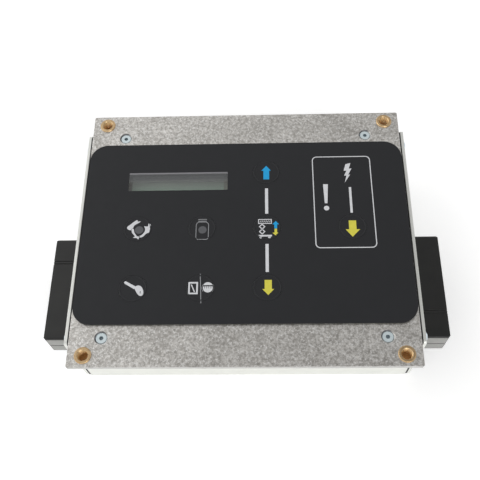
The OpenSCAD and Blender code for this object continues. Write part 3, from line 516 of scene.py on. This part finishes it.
# A key's raised rim: how far in from the edge it runs, its radius in section and its height
RIM_IN = 0.8
RIM_R = 0.6
RIM_H = KEY_HIGH.z / MM - OVERLAY_TOP
RIM_X = KEY_EDGE_R - RIM_IN

# Print on a key: how far off the centre it lies, and where it ends
KEY_PRINT_SHIFT = -0.55
KEY_PRINT_R = KEY_EDGE_R - 0.08

# Edges of the print on a key that are longer than this are halved, in so many rounds at most
EDGE_LIMIT = 0.8
CUT_ROUNDS = 4

# A mitred corner is drawn out as if its cosine were this or more
MITRE_LIMIT = 0.35

# The thin line across the glow key, whose ends lie on the overlay
GLOW_LINE_W = 0.5


def key_centre(key):
    low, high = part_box("key_" + key)
    return (low + high) / 2 / MM


def key_face(r):
    """Height of a key's face above the overlay's face, at a distance from its centre."""
    across = RIM_R ** 2 - (r - RIM_X) ** 2
    return 0.0 if across <= 0 else max(0.0, math.sqrt(across) + RIM_H - RIM_R)


def rounded(points, rounds=2):
    """Cuts the corners of a closed outline, which turns it into a smooth one."""
    for _ in range(rounds):
        cut = []
        for a, b in zip(points, points[1:] + points[:1]):
            cut.append((0.75 * a[0] + 0.25 * b[0], 0.75 * a[1] + 0.25 * b[1]))
            cut.append((0.25 * a[0] + 0.75 * b[0], 0.25 * a[1] + 0.75 * b[1]))
        points = cut
    return points


def circle(x, y, r, steps=40):
    turns = [2 * math.pi * i / steps for i in range(steps)]
    return [(x + r * math.cos(t), y + r * math.sin(t)) for t in turns]


def arc(x, y, r, start, end, steps=10):
    """Points on a circle, from one angle to another in degrees."""
    turns = [math.radians(start + (end - start) * i / steps) for i in range(steps + 1)]
    return [(x + r * math.cos(t), y + r * math.sin(t)) for t in turns]


def rectangle(x0, y0, x1, y1):
    return [(x0, y0), (x1, y0), (x1, y1), (x0, y1)]


def round_rectangle(x0, y0, x1, y1, r):
    return (arc(x1 - r, y0 + r, r, -90, 0) + arc(x1 - r, y1 - r, r, 0, 90)
            + arc(x0 + r, y1 - r, r, 90, 180) + arc(x0 + r, y0 + r, r, 180, 270))


def offset_line(points, distance, closed):
    """The points moved sideways by a distance, with mitred corners."""
    moved = []
    count = len(points)
    for i, p in enumerate(points):
        before = points[i - 1] if closed or i > 0 else None
        after = points[(i + 1) % count] if closed or i < count - 1 else None
        sides = []
        for a, b in ((before, p), (p, after)):
            if a is not None and b is not None:
                along = Vector((b[0] - a[0], b[1] - a[1])).normalized()
                sides.append(Vector((-along.y, along.x)))
        middle = sum(sides, Vector((0, 0))).normalized()
        reach = distance / max(MITRE_LIMIT, middle.dot(sides[0]))
        moved.append((p[0] + middle.x * reach, p[1] + middle.y * reach))
    return moved


def piece_from(shell, name, material):
    """Turns a finished shell into a piece of the scene."""
    mesh = bpy.data.meshes.new(name)
    shell.to_mesh(mesh)
    shell.free()
    mesh.materials.append(material)
    piece = bpy.data.objects.new(name, mesh)
    bpy.context.scene.collection.objects.link(piece)
    return piece


class Print:
    """One ink layer: outlines and lines, made into one thin solid that lies on the film."""

    def __init__(self):
        self.shell = bmesh.new()

    def area(self, outline):
        self.shell.faces.new([self.shell.verts.new((x, y, 0)) for x, y in outline])
        return self

    def line(self, points, width, closed=False):
        left, right = ([self.shell.verts.new((x, y, 0)) for x, y in offset_line(points, w, closed)]
                       for w in (width / 2, -width / 2))
        count = len(points)
        for i in range(count if closed else count - 1):
            j = (i + 1) % count
            self.shell.faces.new((right[i], right[j], left[j], left[i]))
        return self

    def triangulate(self, corners):
        """Cuts every face that has more corners than that into triangles."""
        faces = [face for face in self.shell.faces if len(face.verts) > corners]
        bmesh.ops.triangulate(self.shell, faces=faces)

    def cut_finely(self):
        """Halves long edges, so that the print can follow the rim of a key."""
        for _ in range(CUT_ROUNDS):
            long_edges = [e for e in self.shell.edges if e.calc_length() > EDGE_LIMIT]
            if not long_edges:
                break
            bmesh.ops.subdivide_edges(self.shell, edges=long_edges, cuts=1, use_grid_fill=False)
            self.triangulate(3)

    def build(self, name, material, slot_name, body, centre=(0, 0), on_rim=False, lift=0.0):
        """Makes the piece. With on_rim it follows the raised rim of a key."""
        shell = self.shell
        shell.normal_update()
        for face in shell.faces:
            if face.normal.z < 0:
                face.normal_flip()
        self.triangulate(4)
        if on_rim:
            bmesh.ops.translate(shell, verts=list(shell.verts), vec=(0.0, KEY_PRINT_SHIFT, 0.0))
            self.cut_finely()
        for v in shell.verts:
            rise = 0.0
            if on_rim:
                r = math.hypot(v.co.x, v.co.y)
                if r > KEY_PRINT_R:
                    shrink = KEY_PRINT_R / r
                    v.co.x *= shrink
                    v.co.y *= shrink
                    r *= shrink
                rise = key_face(r)
            v.co.z = rise - INK_SUNK + lift
        made = bmesh.ops.extrude_face_region(shell, geom=list(shell.faces), use_keep_orig=True)
        for v in made["geom"]:
            if isinstance(v, bmesh.types.BMVert):
                v.co.z += INK_T
        bmesh.ops.recalc_face_normals(shell, faces=list(shell.faces))
        for v in shell.verts:
            x, y, z = v.co
            v.co = ((x + centre[0]) * MM, (y + centre[1]) * MM, (z + OVERLAY_TOP) * MM)
        piece = piece_from(shell, name, material)
        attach(piece, body)


def on_key(layer, key, name, material, lift=0.0):
    """Builds print that rides on a key. The lift keeps it off the print under it."""
    centre = key_centre(key)
    layer.build(f"print_{key}_{name}", material, "key_film", key + "_key",
                (centre.x, centre.y), on_rim=True, lift=lift)


def on_panel(layer, name, material):
    layer.build(f"print_{name}", material, "overlay_film", "root")


def arrow(tip, wing_y, wing_left, wing_right, shaft_left, shaft_right, end_y):
    """An arrow's outline, given by its tip and by the edges of its wings and its shaft."""
    return [tip, (wing_right, wing_y), (shaft_right, wing_y), (shaft_right, end_y),
            (shaft_left, end_y), (shaft_left, wing_y), (wing_left, wing_y)]


def print_speed():
    hare = [(-7.8, 1.1), (-7.3, 2.6), (-5.8, 3.6), (-4.2, 5.2), (-1.2, 7.7), (-0.2, 7.2),
            (-0.8, 6.3), (2.3, 6.6), (-0.3, 4.8), (-2.6, 3.4), (-3.1, 1.9), (-4.4, -0.6),
            (-6.4, -0.2)]
    sweep = [(-4.6, 0.4), (-2.9, 0.7), (-2.1, -2.4), (0.0, -5.4), (2.2, -5.5), (0.9, -7.9),
             (0.1, -6.8), (-2.9, -6.4), (-1.4, -5.4), (-3.7, -2.7)]
    tortoise = [(4.2, 2.9), (5.9, 2.2), (7.4, 2.6), (7.3, 4.6), (8.6, 4.8), (9.3, 3.1),
                (8.8, 1.5), (8.7, -0.8), (8.5, -2.6), (6.5, -3.0), (3.9, -6.1), (1.4, -6.4),
                (1.0, -5.4), (3.1, -4.5), (5.1, -2.0), (5.4, 0.6)]
    layer = Print()
    layer.area(rounded(hare, 1)).area(sweep).area(rounded(tortoise, 1))
    on_key(layer, "speed", "white", WHITE_INK)
    on_key(Print().area(circle(1.1, -0.4, 3.0)), "speed", "lamp", GREY_INK, lift=0.004)


def print_fuel():
    tank = [(-2.5, 5.4), (-3.8, 4.4), (-4.2, 3.2), (-4.2, -6.7), (-3.7, -7.9), (-2.8, -8.4),
            (3.2, -8.4), (4.0, -7.9), (4.5, -6.7), (4.5, 3.2), (4.1, 4.4), (2.8, 5.4)]
    layer = Print()
    layer.line(tank, width=0.45, closed=True)
    layer.area(rectangle(-2.9, 5.9, 3.2, 6.4)).area(rectangle(-2.9, 7.3, 3.2, 7.8))
    on_key(layer, "fuel", "white", DIM_INK)
    on_key(Print().area(circle(0.3, -0.8, 2.9)), "fuel", "lamp", GREY_INK, lift=0.004)


def print_start():
    blade = [(-6.3, 5.0), (-5.7, 5.9), (-4.7, 5.7), (1.9, 1.9), (0.9, 0.0), (-5.8, 4.1)]
    bow = [(0.9, 1.2), (3.0, 3.0), (5.9, 2.1), (7.5, -1.8), (7.2, -4.5), (5.8, -5.2),
           (4.1, -4.5), (1.9, -1.2)]
    eye = [(5.0, -1.4), (5.6, -1.6), (5.5, -3.3), (4.9, -3.1)]
    on_key(Print().area(blade), "start", "blade", WHITE_INK)
    on_key(Print().area(rounded(bow)), "start", "bow", WHITE_INK, lift=0.006)
    on_key(Print().area(eye), "start", "eye", GREY_INK, lift=0.012)


def print_glow():
    layer = Print()
    box = [(-7.35, 4.35), (-1.95, 4.35), (-1.95, -3.45), (-7.35, -3.45)]
    layer.line(box, width=1.15, closed=True)
    layer.line([(-5.9, 3.0), (-3.6, -2.4)], width=0.75)
    disc_x, disc_y, disc_r = 5.3, 0.5, 3.3
    layer.area(arc(disc_x, disc_y, disc_r, -200, 20, 30))
    layer.area(arc(disc_x, disc_y + 0.9, disc_r, 20, 160, 24))
    on_key(layer, "glow", "white", WHITE_INK)
    comb = Print()
    for i in range(4):
        x = disc_x - 2.1 + i * 1.4
        comb.area(rectangle(x - 0.18, disc_y - 0.4, x + 0.18, disc_y + 1.3))
    on_key(comb, "glow", "comb", BLACK_INK, lift=0.006)
    thin = Print()
    for start, end in ((-40, 40), (140, 220)):
        thin.line(arc(disc_x, disc_y, 4.0, start, end, 12), width=0.35)
    thin.line([(-0.1, 10.2), (0.9, -9.1)], GLOW_LINE_W)
    on_key(thin, "glow", "thin", DIM_INK, lift=0.002)


def print_lift():
    up = arrow((-0.1, 6.0), 1.85, -3.8, 3.2, -2.25, 1.95, -5.55)
    down = arrow((0.4, -5.0), -0.65, -3.6, 4.4, -2.0, 2.85, 6.0)
    small_up = arrow((6.1, 5.6), 2.9, 3.8, 8.4, 5.1, 7.1, -0.3)
    small_down = arrow((6.0, -6.0), -3.6, 3.7, 8.1, 5.2, 7.0, -0.5)
    on_key(Print().area(up), "up", "blue", BLUE_INK)
    on_key(Print().area(down), "down", "yellow", YELLOW_INK)
    layer = Print()
    layer.line(rectangle(-5.9, 3.7, 3.1, 6.9), width=0.6, closed=True)
    for i in range(6):
        x = -5.0 + i * 1.3
        layer.line([(x, 4.6), (x + 1.0, 6.0)], width=0.4)
    for y in (1.2, -2.7):
        diamond = [(-3.4, y + 1.9), (-1.6, y), (-3.4, y - 1.9), (-5.2, y)]
        layer.line(diamond, width=0.7, closed=True)
    layer.area(rectangle(-6.1, -6.6, 3.4, -5.3))
    for x in (-4.4, 1.6):
        layer.area(circle(x, -7.3, 0.9, 20))
    on_key(layer, "enable", "white", WHITE_INK)
    on_key(Print().area(small_up), "enable", "blue", BLUE_INK)
    on_key(Print().area(small_down), "enable", "yellow", YELLOW_INK)


def print_aux():
    down = arrow((-0.6, -7.5), -1.65, -5.1, 4.9, -2.65, 2.5, 5.3)
    on_key(Print().area(down), "aux", "yellow", YELLOW_INK)


def print_panel():
    lines = Print()
    for x, y0, y1, width in ((15.9, 12.0, 32.8, 2.2), (15.9, -33.2, -11.9, 2.2),
                             (75.6, 12.0, 32.9, 1.7)):
        lines.area(rectangle(x - width / 2, y0, x + width / 2, y1))
    on_panel(lines, "lines", WHITE_INK)
    group = Print()
    group.line(round_rectangle(49.6, -15.3, 91.2, 59.0, 3.2), width=0.68, closed=True)
    on_panel(group, "group_frame", WHITE_INK)
    glow = key_centre("glow")
    ends = Print()
    for x, y0, y1 in ((-0.1, 9.9, 10.4), (0.95, -11.1, -9.9)):
        left, right = glow.x + x - GLOW_LINE_W / 2, glow.x + x + GLOW_LINE_W / 2
        ends.area(rectangle(left, glow.y + y0, right, glow.y + y1))
    on_panel(ends, "glow_line_ends", DIM_INK)
    bolt = [(-2.2, 52.3), (1.5, 53.3), (0.0, 48.4), (2.0, 48.7), (-0.7, 43.3), (0.7, 43.5),
            (-3.5, 36.7), (-2.0, 42.5), (-3.7, 42.6), (-1.8, 46.7), (-3.8, 46.8)]
    bolt_drop = 0.9
    aux = key_centre("aux")
    marks = Print()
    marks.area([(x + aux.x, y + aux.y - bolt_drop) for x, y in bolt])
    marks.area([(56.5, 35.6), (57.1, 19.9), (59.0, 19.9), (60.0, 35.6)])
    marks.area(circle(58.2, 15.9, 1.9, 28))
    on_panel(marks, "marks", WHITE_INK)


print_speed()
print_fuel()
print_start()
print_glow()
print_lift()
print_aux()
print_panel()


# Threaded inserts in millimetres: a flanged cup, and the thread cut into its bore

INSERT_FLOOR_T = 1.2
BODY_R = 4.5
FLANGE_T = 0.9
FLANGE_CHAMFER = 0.45
MOUTH_CHAMFER = 0.5
PITCH = 1.25
CORE_R = 3.38
ROOT_R = 3.95
STEPS = 72
LEVELS_PER_TURN = 8

# The thread's section: how steep its flanks are, and the offset that leaves its crest and its
# root flat over a sixth of the pitch each
FLANK_SLOPE = 1.5
FLANK_OFFSET = 0.25


def thread_r(i, z, high_z):
    """The bore's radius at a step and a height: a thread with flats, opened at its mouth."""
    phase = (z / PITCH - i / STEPS) % 1.0
    ridge = 1.0 - abs(2.0 * phase - 1.0)
    depth = min(1.0, max(0.0, FLANK_SLOPE * ridge - FLANK_OFFSET))
    radius = CORE_R + (ROOT_R - CORE_R) * depth
    if high_z - z < MOUTH_CHAMFER:
        radius = max(radius, CORE_R + MOUTH_CHAMFER - (high_z - z))
    return radius


def threaded_insert(name, x, y, low_z, high_z):
    """A flanged cup whose bore carries a helical thread."""
    bore_z = low_z + INSERT_FLOOR_T
    flange_z = high_z - FLANGE_T
    levels = int(round((high_z - bore_z) / (PITCH / LEVELS_PER_TURN)))
    turns = [2 * math.pi * i / STEPS for i in range(STEPS)]
    shell = bmesh.new()

    def ring(radii, z):
        return [shell.verts.new((x + r * math.cos(t), y + r * math.sin(t), z))
                for r, t in zip(radii, turns)]

    outside = ((BODY_R, low_z), (BODY_R, flange_z), (FLANGE_R, flange_z),
               (FLANGE_R, high_z - FLANGE_CHAMFER), (FLANGE_R - FLANGE_CHAMFER, high_z))
    rings = [ring([radius] * STEPS, z) for radius, z in outside]
    for k in range(levels + 1):
        z = high_z - (high_z - bore_z) * k / levels
        rings.append(ring([thread_r(i, z, high_z) for i in range(STEPS)], z))
    shell.faces.new(rings[0])
    shell.faces.new(rings[-1])
    for a, b in zip(rings, rings[1:]):
        for i in range(STEPS):
            j = (i + 1) % STEPS
            shell.faces.new((a[i], a[j], b[j], b[i]))
    bmesh.ops.recalc_face_normals(shell, faces=list(shell.faces))
    for v in shell.verts:
        v.co *= MM
    piece = piece_from(shell, name, FINISHES["insert_brass"])
    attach(piece, "root")
    return piece


def add_inserts():
    low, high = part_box("threaded_inserts")
    reach_x, reach_y = INSERT_PLACE.x / MM, INSERT_PLACE.y / MM
    for sx, x_name in ((-1, "left"), (1, "right")):
        for sy, y_name in ((-1, "front"), (1, "back")):
            piece = threaded_insert(f"insert_{y_name}_{x_name}", sx * reach_x, sy * reach_y,
                                    low.z / MM, high.z / MM)
            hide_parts("threaded_inserts")


add_inserts()


# Floor, surroundings and lamps

FLOOR_HALF = 4.0
FLOOR_SHADE = 0.92
FLOOR_ROUGH = 0.9
FLOOR_GLOW = 0.34

# Brightness of the surroundings by height, from the horizon to straight up
SKY = ((0.0, 1.0), (0.06, 1.0), (0.12, 1.0), (0.30, 0.80), (0.45, 0.86), (0.75, 0.77),
       (0.9, 0.49), (1.0, 0.36))

# Above the horizon they are brighter on the left than on the right
SIDE_X = (-0.40, 0.34)
SIDE_LEVEL = (1.30, 0.70)
ABOVE_Z = (0.12, 0.35)

LAMP_AIM = (0, 0, 0.05)


def add_floor():
    mesh = bpy.data.meshes.new("floor")
    corners = rectangle(-FLOOR_HALF, -FLOOR_HALF, FLOOR_HALF, FLOOR_HALF)
    mesh.from_pydata([(x, y, 0) for x, y in corners], [], [(0, 1, 2, 3)])
    floor = bpy.data.objects.new("floor", mesh)
    bpy.context.scene.collection.objects.link(floor)
    n = Nodes("floor")
    n.fix("Base Color", (FLOOR_SHADE, FLOOR_SHADE, FLOOR_SHADE, 1.0))
    n.fix("Roughness", FLOOR_ROUGH)
    n.fix("Emission Color", (1.0, 1.0, 1.0, 1.0))
    path = n.tree.nodes.new("ShaderNodeLightPath")
    seen = n.math("MAXIMUM", path.outputs["Is Camera Ray"], path.outputs["Is Glossy Ray"])
    seen = n.math("MAXIMUM", seen, path.outputs["Is Transmission Ray"])
    n.feed("Emission Strength", n.times(seen, FLOOR_GLOW))
    mesh.materials.append(n.material)


def add_world():
    """White at the horizon, and above it dimmer overhead and brighter on the left."""
    world = bpy.data.worlds.new("surroundings")
    bpy.context.scene.world = world
    world.use_nodes = True
    tree = world.node_tree
    place = tree.nodes.new("ShaderNodeTexCoord")
    split = tree.nodes.new("ShaderNodeSeparateXYZ")
    tree.links.new(place.outputs["Generated"], split.inputs["Vector"])
    ramp = tree.nodes.new("ShaderNodeValToRGB")
    ramp.color_ramp.interpolation = "B_SPLINE"
    elements = ramp.color_ramp.elements
    while len(elements) < len(SKY):
        elements.new(0.5)
    for element, (height, shade) in zip(elements, SKY):
        element.position = height
        element.color = (shade, shade, shade, 1.0)
    tree.links.new(split.outputs["Z"], ramp.inputs["Fac"])
    level = tree.nodes.new("ShaderNodeMix")
    level.inputs[NUMBER_A].default_value = 1.0
    side = map_range(tree, split.outputs["X"], *SIDE_LEVEL, *SIDE_X)
    tree.links.new(side, level.inputs[NUMBER_B])
    above = map_range(tree, split.outputs["Z"], 0.0, 1.0, *ABOVE_Z)
    tree.links.new(above, level.inputs["Factor"])
    shaded = tree.nodes.new("ShaderNodeVectorMath")
    shaded.operation = "SCALE"
    tree.links.new(ramp.outputs["Color"], shaded.inputs[0])
    tree.links.new(level.outputs[NUMBER_OUT], shaded.inputs["Scale"])
    background = tree.nodes["Background"]
    tree.links.new(shaded.outputs["Vector"], background.inputs["Color"])
    background.inputs["Strength"].default_value = 1.0


def add_lamp(name, place, size, power):
    data = bpy.data.lights.new(name, "AREA")
    data.shape = "DISK"
    data.size = size
    data.energy = power
    lamp = bpy.data.objects.new(name, data)
    lamp.location = place
    lamp.rotation_euler = (Vector(LAMP_AIM) - Vector(place)).to_track_quat("-Z", "Y").to_euler()
    bpy.context.scene.collection.objects.link(lamp)


add_floor()
add_world()
add_lamp("key_lamp", place=(-1.2, 0.35, 1.05), size=1.4, power=4.0)
add_lamp("fill_lamp", place=(0.5, -1.1, 0.9), size=0.9, power=4.0)

bpy.context.scene.view_settings.view_transform = "Standard"
